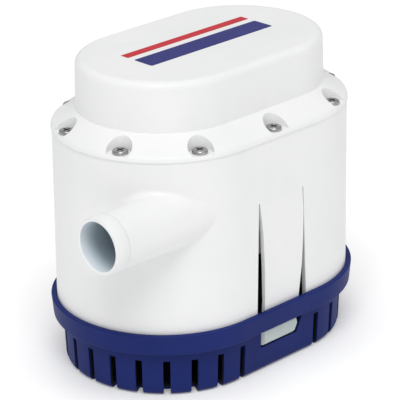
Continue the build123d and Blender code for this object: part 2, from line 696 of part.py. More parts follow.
with BuildPart() as inlet_plate:
    with BuildSketch(Plane.XY.offset(38.0)):
        with BuildLine():
            Spline(*outer_spiral)
            Line(outer_spiral[-1], outer_spiral[0])
        make_face()
        for ex, ey in volute_ear_xy:
            ang = math.degrees(math.atan2(ey - MY, ex - MX))
            with Locations(Location(((ex + MX) / 2 + (ex - MX) * 0.22, (ey + MY) / 2 + (ey - MY) * 0.22, 0), (0, 0, ang))):
                Rectangle(22.0, 6.0)
            with Locations((ex, ey)):
                Circle(4.2)
    extrude(amount=2.5)
    # rounded lip round the suction eye
    with BuildSketch(Plane.XY.offset(35.2)):
        with Locations((MX, MY)):
            Circle(15.5)
    extrude(amount=2.8)
    with BuildSketch(Plane.XY.offset(30.0)):
        with Locations((MX, MY)):
            Circle(13.0)
    extrude(amount=20.0, mode=Mode.SUBTRACT)
    with BuildSketch(Plane.XY.offset(30.0)):
        with Locations(*volute_ear_xy):
            Circle(1.6)
    extrude(amount=20.0, mode=Mode.SUBTRACT)
    # clearance for the duct, which dips below the chamber's floor
    with BuildSketch(Plane(origin=(TX - 3 * duct_dir[0], TY - 3 * duct_dir[1], Z_VOLUTE), z_dir=duct_dir)):
        Circle(8.8)
    with BuildSketch(Plane(origin=(X_RISER, Y_OUT, Z_VOLUTE), z_dir=duct_dir)):
        Circle(RISER_R + 0.15)
    loft(mode=Mode.SUBTRACT)
    with Locations((X_RISER, Y_OUT, Z_VOLUTE)):
        Sphere(RISER_R + 0.15, mode=Mode.SUBTRACT)
inlet_plate.part.label = "inlet_plate"
export_step(inlet_plate.part, "parts/inlet_plate.step")

with BuildPart() as volute_screws:
    with BuildSketch(Plane.XY.offset(35.8)):
        with Locations(*volute_ear_xy):
            Circle(3.2)
    extrude(amount=2.2)
    fillet(volute_screws.edges().group_by(Axis.Z)[0], 0.9)
    with BuildSketch(Plane.XY.offset(35.8)):
        with Locations(*volute_ear_xy):
            Rectangle(3.6, 0.8)
            Rectangle(0.8, 3.6)
    extrude(amount=1.2, mode=Mode.SUBTRACT)
    with BuildSketch(Plane.XY.offset(38.0)):
        with Locations(*volute_ear_xy):
            Circle(1.6)
    extrude(amount=31.0)
volute_screws.part.label = "volute_screws"
export_step(volute_screws.part, "parts/volute_screws.step")

# ---------------------------------------------------------------------- motor
with BuildPart() as motor_can:
    with BuildSketch(Plane.XY.offset(CAN_LOW)):
        with Locations((MX, MY)):
            Circle(CAN_R)
    extrude(amount=CAN_TOP - CAN_LOW)
    fillet(motor_can.edges().group_by(Axis.Z)[0], 1.2)
    with BuildSketch(Plane.XY.offset(CAN_LOW)):
        for ex, ey in motor_ear_xy:
            ang = math.degrees(math.atan2(ey - MY, ex - MX))
            with Locations(Location(((ex * 0.85 + MX * 0.15), (ey * 0.85 + MY * 0.15), 0), (0, 0, ang))):
                Rectangle(12.0, 9.0)
            with Locations((ex, ey)):
                Circle(4.5)
    extrude(amount=1.6)
    with BuildSketch(Plane.XY.offset(CAN_LOW + 1.6)):
        with Locations((MX, MY)):
            Circle(CAN_IN)
    extrude(amount=80, mode=Mode.SUBTRACT)
    with BuildSketch(Plane.XY.offset(CAN_LOW)):
        with Locations((MX, MY)):
            Circle(8.5)
    extrude(amount=6.5)
    with BuildSketch(Plane.XY.offset(CAN_LOW - 1)):
        with Locations((MX, MY)):
            Circle(6.0)
    extrude(amount=20, mode=Mode.SUBTRACT)
    with BuildSketch(Plane.XY.offset(CAN_LOW - 1)):
        with Locations(*motor_ear_xy):
            Circle(2.1)
    extrude(amount=5, mode=Mode.SUBTRACT)
motor_can.part.label = "motor_can"
export_step(motor_can.part, "parts/motor_can.step")

with BuildPart() as motor_screws:
    with BuildSketch(Plane.XY.offset(CAN_LOW + 1.6)):
        with Locations(*motor_ear_xy):
            Circle(3.6)
    extrude(amount=2.4)
    fillet(motor_screws.edges().group_by(Axis.Z)[-1], 1.0)
    with BuildSketch(Plane.XY.offset(66.0)):
        with Locations(*motor_ear_xy):
            Circle(1.9)
    extrude(amount=CAN_LOW + 1.6 - 66.0)
motor_screws.part.label = "motor_screws"
export_step(motor_screws.part, "parts/motor_screws.step")

with BuildPart() as lower_bearing:
    with BuildSketch(Plane.XY.offset(CAN_LOW)):
        with Locations((MX, MY)):
            Circle(6.0)
            Circle(SHAFT_R + 0.04, mode=Mode.SUBTRACT)
    extrude(amount=6.5)
lower_bearing.part.label = "lower_bearing"
export_step(lower_bearing.part, "parts/lower_bearing.step")

with BuildPart() as upper_bearing:
    with BuildSketch(Plane.XY.offset(135.0)):
        with Locations((MX, MY)):
            Circle(6.0)
            Circle(SHAFT_R + 0.04, mode=Mode.SUBTRACT)
    extrude(amount=7.0)
upper_bearing.part.label = "upper_bearing"
export_step(upper_bearing.part, "parts/upper_bearing.step")

with BuildPart() as field_magnets:
    with BuildSketch(Plane.XY.offset(79.0)):
        with Locations((MX, MY)):
            Circle(CAN_IN)
            Circle(23.2, mode=Mode.SUBTRACT)
            Rectangle(16.0, 80.0, mode=Mode.SUBTRACT)
    extrude(amount=36.0)
field_magnets.part.label = "field_magnets"
export_step(field_magnets.part, "parts/field_magnets.step")

with BuildPart() as motor_end_cap:
    with BuildSketch(Plane.XY.offset(CAN_TOP)):
        with Locations((MX, MY)):
            Circle(CAN_R)
    extrude(amount=4.0)
    with BuildSketch(Plane.XY.offset(CAN_TOP + 4.0)):
        with Locations((MX, MY)):
            Circle(9.5)
    extrude(amount=8.0)
    # spigot inside the can and the two brush boxes
    with BuildSketch(Plane.XY.offset(CAN_TOP - 3.0)):
        with Locations((MX, MY)):
            Circle(CAN_IN)
            Circle(25.0, mode=Mode.SUBTRACT)
    extrude(amount=3.0)
    with BuildSketch(Plane.XY.offset(120.5)):
        with Locations((MX - 17.6, MY), (MX + 17.6, MY)):
            Rectangle(13.0, 10.0)
    extrude(amount=9.5)
    with BuildSketch(Plane.XY.offset(122.5)):
        with Locations((MX - 17.6, MY), (MX + 17.6, MY)):
            Rectangle(9.4, 6.0)
        with Locations((MX - 12.0, MY), (MX + 12.0, MY)):
            Rectangle(6.0, 6.0)
    extrude(amount=5.0, mode=Mode.SUBTRACT)
    with BuildSketch(Plane.XY.offset(135.0)):
        with Locations((MX, MY)):
            Circle(6.0)
    extrude(amount=10.0, mode=Mode.SUBTRACT)
    with BuildSketch(Plane.XY.offset(CAN_TOP - 5)):
        with Locations((MX, MY)):
            Circle(4.0)
    extrude(amount=15.0, mode=Mode.SUBTRACT)
    # slots for the terminals
    with BuildSketch(Plane.XY.offset(CAN_TOP - 1)):
        with Locations((MX - 17.0, MY), (MX + 17.0, MY)):
            Rectangle(0.8, 6.0)
    extrude(amount=10.0, mode=Mode.SUBTRACT)
motor_end_cap.part.label = "motor_end_cap"
export_step(motor_end_cap.part, "parts/motor_end_cap.step")

with BuildPart() as motor_terminals:
    with BuildSketch(Plane.XY.offset(CAN_TOP + 0.1)):
        with Locations((MX - 17.0, MY), (MX + 17.0, MY)):
            Rectangle(0.8, 6.0)
    extrude(amount=11.5)
motor_terminals.part.label = "motor_terminals"
export_step(motor_terminals.part, "parts/motor_terminals.step")

COMM_R = 8.6
with BuildPart() as brushes:
    with BuildSketch(Plane.XY.offset(122.6)):
        for side in (-1, 1):
            with Locations((MX + side * 12.6, MY)):
                Rectangle(7.6, 5.8)
        with Locations((MX, MY)):
            Circle(COMM_R + 0.05, mode=Mode.SUBTRACT)
    extrude(amount=4.8)
brushes.part.label = "brushes"
export_step(brushes.part, "parts/brushes.step")

with BuildPart() as brush_springs:
    for side in (-1, 1):
        with BuildSketch(Plane(origin=(MX + side * 16.4, MY, 125.0), z_dir=(side, 0, 0))):
            Circle(2.0)
            Circle(1.5, mode=Mode.SUBTRACT)
        extrude(amount=5.8)
brush_springs.part.label = "brush_springs"
export_step(brush_springs.part, "parts/brush_springs.step")

with BuildPart() as shaft_seal:
    with BuildSketch(Plane.XZ) as seal_section:
        with BuildLine():
            Polyline(
                (SHAFT_R + 0.05, 66.4), (SHAFT_R + 0.05, 67.4), (5.4, 67.8), (5.4, 69.2),
                (7.95, 69.2), (7.95, 65.4), (5.2, 65.4), close=True,
            )
        make_face()
    revolve(axis=Axis.Z, revolution_arc=360)
shaft_seal.part = Pos(MX, MY, 0) * shaft_seal.part
shaft_seal.part.label = "shaft_seal"
export_step(shaft_seal.part, "parts/shaft_seal.step")

# ---------------------------------------------------------------- turning set
with BuildPart() as shaft:
    with BuildSketch(Plane.XY.offset(39.6)):
        with Locations((MX, MY)):
            Circle(SHAFT_R)
    extrude(amount=143.0 - 39.6)
    chamfer(shaft.edges().group_by(Axis.Z)[-1], 0.5)
    chamfer(shaft.edges().group_by(Axis.Z)[0], 0.4)
    # flat for the impeller and groove for its clip
    with BuildSketch(Plane.XY.offset(41.6)):
        with Locations((MX + 3.9, MY)):
            Rectangle(2.8, 8.0)
    extrude(amount=13.0, mode=Mode.SUBTRACT)
    with BuildSketch(Plane.XY.offset(40.4)):
        with Locations((MX, MY)):
            Circle(SHAFT_R + 1)
            Circle(2.3, mode=Mode.SUBTRACT)
    extrude(amount=0.8, mode=Mode.SUBTRACT)
shaft.part.label = "shaft"
export_step(shaft.part, "parts/shaft.step")

with BuildPart() as armature_core:
    with BuildSketch(Plane.XY.offset(82.0)):
        with Locations((MX, MY)):
            Circle(22.3)
            Circle(SHAFT_R, mode=Mode.SUBTRACT)
            with PolarLocations(15.0, 7, start_angle=10):
                Rectangle(10.0, 6.0, mode=Mode.SUBTRACT)
            with PolarLocations(21.0, 7, start_angle=10):
                Rectangle(4.0, 2.0, mode=Mode.SUBTRACT)
    extrude(amount=30.0)
armature_core.part.label = "armature_core"
export_step(armature_core.part, "parts/armature_core.step")

with BuildPart() as armature_windings:
    with BuildSketch(Plane.XY.offset(80.0)):
        with Locations((MX, MY)):
            with PolarLocations(15.0, 7, start_angle=10):
                Rectangle(9.8, 5.8)
    extrude(amount=34.0)
    with BuildSketch(Plane.XY.offset(77.6)):
        with Locations((MX, MY)):
            Circle(20.5)
            Circle(6.5, mode=Mode.SUBTRACT)
    extrude(amount=4.3)
    with BuildSketch(Plane.XY.offset(112.1)):
        with Locations((MX, MY)):
            Circle(20.5)
            Circle(6.5, mode=Mode.SUBTRACT)
    extrude(amount=6.0)
    fillet(armature_windings.edges().group_by(Axis.Z)[-1], 2.0)
armature_windings.part.label = "armature_windings"
export_step(armature_windings.part, "parts/armature_windings.step")

with BuildPart() as commutator:
    with BuildSketch(Plane.XY.offset(119.0)):
        with Locations((MX, MY)):
            Circle(COMM_R)
            Circle(SHAFT_R, mode=Mode.SUBTRACT)
            with PolarLocations(COMM_R - 0.4, 7):
                Rectangle(1.6, 0.5, mode=Mode.SUBTRACT)
    extrude(amount=10.0)
commutator.part.label = "commutator"
export_step(commutator.part, "parts/commutator.step")

IMP_R = 26.0
VANES = 6
with BuildPart() as impeller:
    with BuildSketch(Plane.XY.offset(52.4)):
        with Locations((MX, MY)):
            Circle(IMP_R)
    extrude(amount=2.2)
    with BuildSketch(Plane.XY.offset(41.6)):
        with Locations((MX, MY)):
            Circle(5.8)
    extrude(amount=13.0)
    # backward-curved vanes hanging from the disc
    for k in range(VANES):
        a0 = 2 * math.pi * k / VANES
        centre_pts = []
        for i in range(7):
            t = i / 6.0
            r = 7.0 + (IMP_R - 1.2 - 7.0) * t
            ang = a0 + math.radians(52) * t
            centre_pts.append((r, ang))
        left = [(MX + r * math.cos(g - 0.9 / r), MY + r * math.sin(g - 0.9 / r)) for r, g in centre_pts]
        right = [(MX + r * math.cos(g + 0.9 / r), MY + r * math.sin(g + 0.9 / r)) for r, g in centre_pts]
        inner = (MX + 4.0 * math.cos(a0), MY + 4.0 * math.sin(a0))
        with BuildSketch(Plane.XY.offset(42.6)):
            with BuildLine():
                Line(inner, left[0])
                Spline(*left)
                Line(left[-1], right[-1])
                Spline(*right[::-1])
                Line(right[0], inner)
            make_face()
        extrude(amount=10.0)
    # hub is extended upwards to meet the shaft's passage, bored to fit the flatted shaft
    with BuildSketch(Plane.XY.offset(40.0)):
        with Locations((MX, MY)):
            Circle(SHAFT_R)
        with Locations((MX + 3.9, MY)):
            Rectangle(2.8, 8.0, mode=Mode.SUBTRACT)
    extrude(amount=20.0, mode=Mode.SUBTRACT)
impeller.part.label = "impeller"
export_step(impeller.part, "parts/impeller.step")

with BuildPart() as impeller_clip:
    with BuildSketch(Plane.XY.offset(40.45)):
        with Locations((MX, MY)):
            Circle(5.2)
            Circle(2.35, mode=Mode.SUBTRACT)
        with Locations((MX + 3.6, MY)):
            Rectangle(4.0, 3.4, mode=Mode.SUBTRACT)
    extrude(amount=0.7)
impeller_clip.part.label = "impeller_clip"
export_step(impeller_clip.part, "parts/impeller_clip.step")

# --------------------------------------------------------------- float switch
with BuildPart() as float_pin:
    with BuildSketch(axis_at(FX, 0, FZ, (0, 1, 0))):
        Circle(1.5)
    extrude(amount=18.4, both=True)
    chamfer(float_pin.edges().group_by(Axis.Y)[0], 0.3)
    chamfer(float_pin.edges().group_by(Axis.Y)[-1], 0.3)
float_pin.part.label = "float_pin"
export_step(float_pin.part, "parts/float_pin.step")

MAG_X = 60.0
with BuildPart() as float_body:
    with BuildSketch(Plane.XY.offset(33.0)):
        with Locations((57.0, 0)):
            Rectangle(30.0, 2 * FLOAT_HALF)
    extrude(amount=14.0)
    fillet(float_body.edges().filter_by(Axis.Z), 4.0)
    fillet(float_body.edges().group_by(Axis.Z)[0], 2.0)
    # arm to the pivot
    with BuildSketch(Plane.XY.offset(43.0)):
        with Locations((41.0, 0)):
            Rectangle(12.0, 18.0)
    extrude(amount=4.0)
    with BuildSketch(axis_at(FX, 0, FZ, (0, 1, 0))):
        Circle(4.0)
    extrude(amount=14.6, both=True)
    with BuildSketch(Plane.XZ.offset(9.0)):
        with BuildLine():
            Polyline((FX - 3.0, FZ - 2.6), (FX + 2, FZ - 7.0), (46.0, 43.0), (46.0, 47.0), (FX + 3.6, FZ + 1.0), close=True)
        make_face()
    extrude(amount=-18.0)
    with BuildSketch(axis_at(FX, 0, FZ, (0, 1, 0))):
        Circle(1.55)
    extrude(amount=20.0, both=True, mode=Mode.SUBTRACT)
    with BuildSketch(Plane.XY.offset(42.0)):
        with Locations((MAG_X, 0)):
            Circle(4.0)
    extrude(amount=10.0, mode=Mode.SUBTRACT)
float_body.part.label = "float_body"
export_step(float_body.part, "parts/float_body.step")

with BuildPart() as float_magnet:
    with BuildSketch(Plane.XY.offset(42.0)):
        with Locations((MAG_X, 0)):
            Circle(4.0)
    extrude(amount=4.6)
float_magnet.part.label = "float_magnet"
export_step(float_magnet.part, "parts/float_magnet.step")

with BuildPart() as reed_switch:
    with BuildSketch(Plane(origin=(MAG_X - 9.0, 0, Z_DECK + DECK_T + 1.4), z_dir=(1, 0, 0))):
        Circle(1.4)
    extrude(amount=16.0)
    fillet(reed_switch.edges().filter_by(GeomType.CIRCLE), 1.0)
    with BuildSketch(Plane(origin=(MAG_X - 12.5, 0, Z_DECK + DECK_T + 1.4), z_dir=(1, 0, 0))):
        Circle(0.4)
    extrude(amount=23.0)
reed_switch.part.label = "reed_switch"
export_step(reed_switch.part, "parts/reed_switch.step")

with BuildPart() as control_board:
    with BuildSketch(Plane.XY.offset(BOARD_Z)):
        with Locations((46.0, 0)):
            RectangleRounded(42.0, 46.0, 2.0)
        with Locations(*board_xy):
            Circle(1.3, mode=Mode.SUBTRACT)
    extrude(amount=1.6)
control_board.part.label = "control_board"
export_step(control_board.part, "parts/control_board.step")

with BuildPart() as board_screws:
    with BuildSketch(Plane.XY.offset(BOARD_Z + 1.6)):
        with Locations(*board_xy):
            Circle(2.5)
    extrude(amount=1.7)
    fillet(board_screws.edges().group_by(Axis.Z)[-1], 0.8)
    with BuildSketch(Plane.XY.offset(BOARD_Z - 6.0)):
        with Locations(*board_xy):
            Circle(1.2)
    extrude(amount=7.6)
board_screws.part.label = "board_screws"
export_step(board_screws.part, "parts/board_screws.step")

with BuildPart() as relay:
    with BuildSketch(Plane.XY.offset(BOARD_Z + 1.6)):
        with Locations((46.0, 0)):
            Rectangle(20.0, 16.0)
    extrude(amount=15.5)
    fillet(relay.edges().filter_by(Axis.Z), 1.0)
relay.part.label = "relay"
export_step(relay.part, "parts/relay.step")
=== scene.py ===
# Bilge pump: looks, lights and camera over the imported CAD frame.
# Metres, same frame as the CAD: origin at the middle of the base's underside, +Z up,
# the hose spigot points along -X.
import math

import bmesh
import bpy
from mathutils import Matrix, Vector


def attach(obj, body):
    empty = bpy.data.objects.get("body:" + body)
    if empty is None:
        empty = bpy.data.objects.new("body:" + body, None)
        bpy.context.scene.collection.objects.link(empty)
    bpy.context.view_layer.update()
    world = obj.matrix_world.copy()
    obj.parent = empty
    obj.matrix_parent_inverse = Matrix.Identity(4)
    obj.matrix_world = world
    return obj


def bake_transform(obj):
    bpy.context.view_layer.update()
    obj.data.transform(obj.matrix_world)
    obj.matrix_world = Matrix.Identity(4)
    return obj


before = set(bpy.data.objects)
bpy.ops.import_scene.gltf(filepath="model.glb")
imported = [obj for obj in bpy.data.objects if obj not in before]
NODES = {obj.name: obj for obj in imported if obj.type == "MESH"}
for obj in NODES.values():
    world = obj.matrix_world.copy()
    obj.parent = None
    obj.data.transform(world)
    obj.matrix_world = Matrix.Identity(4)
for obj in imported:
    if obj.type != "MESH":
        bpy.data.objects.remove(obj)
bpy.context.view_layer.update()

scene = bpy.context.scene


def srgb(r, g, b):
    """sRGB 0-255 to linear RGBA."""
    out = []
    for c in (r, g, b):
        c = c / 255.0
        out.append(c / 12.92 if c <= 0.04045 else ((c + 0.055) / 1.055) ** 2.4)
    return (out[0], out[1], out[2], 1.0)


# ---------------------------------------------------------------- materials

class Mat:
    """A node material with one Principled shader, and short helpers to build its inputs."""

    def __init__(self, name):
        self.m = bpy.data.materials.new(name)
        self.m.use_nodes = True
        self.t = self.m.node_tree
        self.t.nodes.clear()
        self.out = self.t.nodes.new("ShaderNodeOutputMaterial")
        self.p = self.t.nodes.new("ShaderNodeBsdfPrincipled")
        self.t.links.new(self.p.outputs["BSDF"], self.out.inputs["Surface"])
        self.coord = self.t.nodes.new("ShaderNodeTexCoord").outputs["Object"]

    def set(self, **kw):
        for k, v in kw.items():
            self.p.inputs[k.replace("_", " ")].default_value = v
        return self

    def scaled(self, s, rot=(0, 0, 0)):
        n = self.t.nodes.new("ShaderNodeMapping")
        n.inputs["Scale"].default_value = s if isinstance(s, tuple) else (s, s, s)
        n.inputs["Rotation"].default_value = rot
        self.t.links.new(self.coord, n.inputs["Vector"])
        return n.outputs["Vector"]

    def noise(self, scale, detail=3.0, rough=0.5, stretch=(1, 1, 1), distort=0.0):
        n = self.t.nodes.new("ShaderNodeTexNoise")
        n.inputs["Scale"].default_value = scale
        n.inputs["Detail"].default_value = detail
        n.inputs["Roughness"].default_value = rough
        n.inputs["Distortion"].default_value = distort
        self.t.links.new(self.scaled(stretch), n.inputs["Vector"])
        return n.outputs["Fac"]

    def voronoi(self, scale, feature="F1", stretch=(1, 1, 1)):
        n = self.t.nodes.new("ShaderNodeTexVoronoi")
        n.feature = feature
        n.inputs["Scale"].default_value = scale
        self.t.links.new(self.scaled(stretch), n.inputs["Vector"])
        return n.outputs["Distance"]

    def wave(self, scale, direction="X", distort=0.0, stretch=(1, 1, 1), kind="BANDS"):
        n = self.t.nodes.new("ShaderNodeTexWave")
        n.wave_type = kind
        if kind == "BANDS":
            n.bands_direction = direction
        else:
            n.rings_direction = direction
        n.inputs["Scale"].default_value = scale
        n.inputs["Distortion"].default_value = distort
        self.t.links.new(self.scaled(stretch), n.inputs["Vector"])
        return n.outputs["Fac"]

    def ramp(self, fac, stops):
        n = self.t.nodes.new("ShaderNodeValToRGB")
        e = n.color_ramp.elements
        while len(e) > 1:
            e.remove(e[-1])
        e[0].position, e[0].color = stops[0]
        for pos, col in stops[1:]:
            x = e.new(pos)
            x.color = col
        self.t.links.new(fac, n.inputs["Fac"])
        return n.outputs["Color"]

    def mapr(self, fac, lo, hi, a=0.0, b=1.0):
        n = self.t.nodes.new("ShaderNodeMapRange")
        n.clamp = True
        n.inputs["From Min"].default_value = a
        n.inputs["From Max"].default_value = b
        n.inputs["To Min"].default_value = lo
        n.inputs["To Max"].default_value = hi
        self.t.links.new(fac, n.inputs["Value"])
        return n.outputs["Result"]

    def math(self, op, a, b=None):
        n = self.t.nodes.new("ShaderNodeMath")
        n.operation = op
        for i, v in enumerate((a, b)):
            if v is None:
                continue
            if isinstance(v, (int, float)):
                n.inputs[i].default_value = v
            else:
                self.t.links.new(v, n.inputs[i])
        return n.outputs[0]

    def mix(self, fac, a, b):
        n = self.t.nodes.new("ShaderNodeMix")
        n.data_type = "RGBA"
        for key, v in (("Factor", fac), ("A", a), ("B", b)):
            s = [i for i in n.inputs if i.name == key and (i.type == "RGBA" or (key == "Factor" and i.type == "VALUE"))][0]
            if isinstance(v, (int, float)):
                s.default_value = v
            elif isinstance(v, tuple):
                s.default_value = v
            else:
                self.t.links.new(v, s)
        return [o for o in n.outputs if o.type == "RGBA"][0]

    def axis(self, which):
        n = self.t.nodes.new("ShaderNodeSeparateXYZ")
        self.t.links.new(self.coord, n.inputs[0])
        return n.outputs[which]

    def step(self, v, lo, hi):
        """0 below lo, 1 above hi, smooth between; lo may be above hi."""
        n = self.t.nodes.new("ShaderNodeMapRange")
        n.interpolation_type = "SMOOTHSTEP"
        n.clamp = True
        n.inputs["From Min"].default_value = lo
        n.inputs["From Max"].default_value = hi
        self.t.links.new(v, n.inputs["Value"])
        return n.outputs["Result"]

    def bar(self, cx, cy, hx, hy, r):
        """1 inside a rounded rectangle in the XY plane, 0 outside, soft over 0.1 mm."""
        qx = self.math("MAXIMUM", self.math("SUBTRACT", self.math("ABSOLUTE", self.math("SUBTRACT", self.axis("X"), cx)), hx - r), 0.0)
        qy = self.math("MAXIMUM", self.math("SUBTRACT", self.math("ABSOLUTE", self.math("SUBTRACT", self.axis("Y"), cy)), hy - r), 0.0)
        d = self.math("SQRT", self.math("ADD", self.math("MULTIPLY", qx, qx), self.math("MULTIPLY", qy, qy)))
        return self.step(d, r + 0.00006, r - 0.00006)

    def oval(self):
        """Distance from the oval's middle line, the one every oval section is drawn around."""
        ax = self.math("MAXIMUM", self.math("SUBTRACT", self.math("ABSOLUTE", self.axis("X")), 0.027), 0.0)
        y = self.axis("Y")
        return self.math("SQRT", self.math("ADD", self.math("MULTIPLY", ax, ax), self.math("MULTIPLY", y, y)))

    def base_color(self):
        return self.p.inputs["Base Color"].links[0].from_socket

    def color(self, v):
        self.t.links.new(v, self.p.inputs["Base Color"])
        return self

    def rough(self, v):
        self.t.links.new(v, self.p.inputs["Roughness"])
        return self

    def bump(self, *layers):
        """Each layer is (height socket, distance in metres, strength)."""
        last = None
        for height, dist, strength in layers:
            n = self.t.nodes.new("ShaderNodeBump")
            n.inputs["Distance"].default_value = dist
            n.inputs["Strength"].default_value = strength
            self.t.links.new(height, n.inputs["Height"])
            if last is not None:
                self.t.links.new(last, n.inputs["Normal"])
            last = n.outputs["Normal"]
        self.t.links.new(last, self.p.inputs["Normal"])
        return self


def moulded(name, light, dark, rough=(0.34, 0.46), grain=0.000012, sss=0.0, ior=1.49):
    """Injection-moulded plastic: faint clouding from the melt, fine tool texture, slow orange peel."""
    k = Mat(name)
    cloud = k.noise(26.0, 3.0, 0.55)
    fine = k.noise(900.0, 2.0, 0.5)
    flow = k.noise(60.0, 2.0, 0.5, stretch=(1, 1, 0.25), distort=0.6)
    both = k.math("MULTIPLY_ADD", cloud, 0.75)
    both.node.inputs[2].default_value = 0.0
    both = k.math("ADD", both, k.math("MULTIPLY", flow, 0.25))
    k.color(k.ramp(both, [(0.34, dark), (0.66, light)]))
    k.rough(k.mapr(k.math("ADD", k.math("MULTIPLY", cloud, 0.5), k.math("MULTIPLY", fine, 0.5)), rough[0], rough[1], 0.3, 0.7))
    k.bump((k.noise(95.0, 2.0, 0.5), 0.00012, 0.10), (k.noise(1500.0, 3.0, 0.6), grain, 0.55))
    k.set(IOR=ior)
    if sss:
        k.set(Subsurface_Weight=sss, Subsurface_Radius=(1.0, 0.9, 0.8), Subsurface_Scale=0.0018)
    return k


def cast_metal(name, a, b, rough=(0.28, 0.42), scale=240.0, stretch=(1, 1, 1), dist=0.00002):
    k = Mat(name)
    n = k.noise(scale, 4.0, 0.6, stretch=stretch)
    k.color(k.ramp(n, [(0.3, b), (0.7, a)]))
    k.rough(k.mapr(k.noise(scale * 2.2, 3.0, 0.6, stretch=stretch), rough[0], rough[1], 0.3, 0.7))
    k.bump((n, dist, 0.5))
    k.set(Metallic=1.0)
    return k


MAT = {}
WHITE_HI, WHITE_LO = srgb(237, 237, 237), srgb(232, 233, 233)

# body: painted shade in the bore of the spigot, darker the deeper it goes
k = moulded("white_plastic_moulded", WHITE_HI, WHITE_LO, rough=(0.36, 0.46))
dy = k.math("SUBTRACT", k.axis("Y"), -0.0394)
dz = k.math("SUBTRACT", k.axis("Z"), 0.0967)
off = k.math("SQRT", k.math("ADD", k.math("MULTIPLY", dy, dy), k.math("MULTIPLY", dz, dz)))
in_bore = k.math("MULTIPLY", k.step(off, 0.01325, 0.01290), k.step(k.axis("X"), -0.030, -0.031))
bore_painted_shade = k.ramp(k.mapr(k.axis("X"), 0.0, 1.0, -0.109, -0.079), [
    (0.00, srgb(236, 240, 243)), (0.12, srgb(222, 231, 238)), (0.36, srgb(174, 188, 196)),
    (0.62, srgb(164, 177, 186)), (1.00, srgb(200, 210, 216))])
c = k.mix(in_bore, k.base_color(), bore_painted_shade)
# painted shade on the faces inside the wall's thickness round the latches, the reveals of the slits
fy = k.math("ABSOLUTE", k.axis("Y"))
fx = k.math("ABSOLUTE", k.axis("X"))
slit_painted_shade = k.math("MULTIPLY", k.math("MULTIPLY", k.step(fy, 0.0567, 0.0560), k.step(fy, 0.0540, 0.0544)),
               k.math("MULTIPLY", k.step(fx, 0.0196, 0.0192), k.step(k.axis("Z"), 0.0962, 0.0956)))
c = k.mix(slit_painted_shade, c, srgb(196, 204, 203))
# painted shade line where the band at the spigot's mouth ends, standing in for the shadow of its small step
line = k.math("MULTIPLY", k.step(k.axis("X"), -0.10120, -0.10100), k.step(k.axis("X"), -0.10050, -0.10070))
line = k.math("MULTIPLY", line, k.step(off, 0.01380, 0.01400))
c = k.mix(line, c, srgb(206, 209, 214))
k.color(c)
MAT["white"] = k.m

# cover: two plain printed bars on top
k = moulded("white_plastic_cover", WHITE_HI, WHITE_LO, rough=(0.38, 0.48))
on_top = k.step(k.axis("Z"), 0.1632, 0.1634)
ink = k.noise(380.0, 3.0, 0.6)
blue_ink = k.ramp(ink, [(0.3, srgb(22, 24, 108)), (0.7, srgb(28, 31, 118))])
red_ink = k.ramp(ink, [(0.3, srgb(190, 20, 36)), (0.7, srgb(200, 26, 44))])
c = k.mix(k.math("MULTIPLY", on_top, k.bar(0.0, -0.0030, 0.043, 0.0065, 0.0012)), k.base_color(), blue_ink)
c = k.mix(k.math("MULTIPLY", on_top, k.bar(0.0, 0.0105, 0.043, 0.0028, 0.0008)), c, red_ink)
k.color(c)
k.set(Specular_IOR_Level=0.30)
MAT["white_cover"] = k.m

# latches: painted shade on the pad at the foot, which lies under the base's overhanging collar, greyer than the blade
k = moulded("white_plastic_tongue", WHITE_HI, WHITE_LO, rough=(0.38, 0.48))
k.color(k.mix(k.step(k.axis("Z"), 0.0275, 0.0262), k.base_color(), k.ramp(k.noise(120.0, 3.0, 0.6), [(0.3, srgb(186, 196, 196)), (0.7, srgb(196, 206, 205))])))
MAT["white_tongue"] = k.m

# base: painted shade, near black, on the faces inside the oval and in the slots
k = moulded("blue_plastic_moulded", srgb(28, 42, 107), srgb(23, 36, 97), rough=(0.46, 0.58), grain=0.00001)
inner = k.math("MULTIPLY", k.step(k.oval(), 0.0530, 0.0524), k.step(k.axis("Z"), 0.0010, 0.0016))
k.color(k.mix(inner, k.base_color(), srgb(26, 29, 30)))
k.set(Specular_IOR_Level=0.12)
MAT["blue"] = k.m
MAT["blue_inner"] = moulded("blue_plastic_inner", srgb(36, 43, 104), srgb(30, 37, 94), rough=(0.34, 0.46), grain=0.00001).m
MAT["black"] = moulded("black_plastic_moulded", srgb(40, 41, 44), srgb(31, 32, 34), rough=(0.42, 0.55)).m
MAT["rubber"] = moulded("black_rubber_moulded", srgb(34, 34, 35), srgb(24, 24, 25), rough=(0.62, 0.78), grain=0.00003).m


def stainless(name):
    k = Mat(name)
    turn = k.noise(260.0, 3.0, 0.55)
    k.color(k.ramp(turn, [(0.3, srgb(150, 150, 152)), (0.7, srgb(186, 186, 187))]))
    k.rough(k.mapr(k.noise(700.0, 3.0, 0.6), 0.24, 0.38, 0.3, 0.7))
    k.bump((k.noise(1800.0, 2.0, 0.5), 0.000015, 0.5))
    k.set(Metallic=1.0)
    return k.m


MAT["stainless"] = stainless("stainless_steel_headed")
MAT["steel"] = cast_metal("plated_steel_drawn", srgb(176, 178, 180), srgb(148, 150, 153), stretch=(1, 1, 0.15)).m
MAT["bronze"] = cast_metal("bronze_sintered", srgb(176, 132, 78), srgb(140, 100, 58), rough=(0.42, 0.58), scale=1600.0, dist=0.00004).m
MAT["copper"] = cast_metal("copper_wound", srgb(196, 108, 62), srgb(160, 80, 44), rough=(0.26, 0.38), scale=420.0).m
MAT["ferrite"] = moulded("ferrite_sintered", srgb(62, 62, 64), srgb(46, 46, 48), rough=(0.55, 0.7), grain=0.00004).m
MAT["carbon"] = moulded("carbon_pressed", srgb(44, 43, 42), srgb(30, 30, 30), rough=(0.45, 0.6), grain=0.00003).m
MAT["foam"] = moulded("float_foam_cellular", srgb(226, 222, 208), srgb(206, 201, 184), rough=(0.75, 0.9), grain=0.0001).m
MAT["board"] = moulded("circuit_board_mask", srgb(28, 92, 58), srgb(20, 74, 46), rough=(0.28, 0.4), grain=0.00001).m


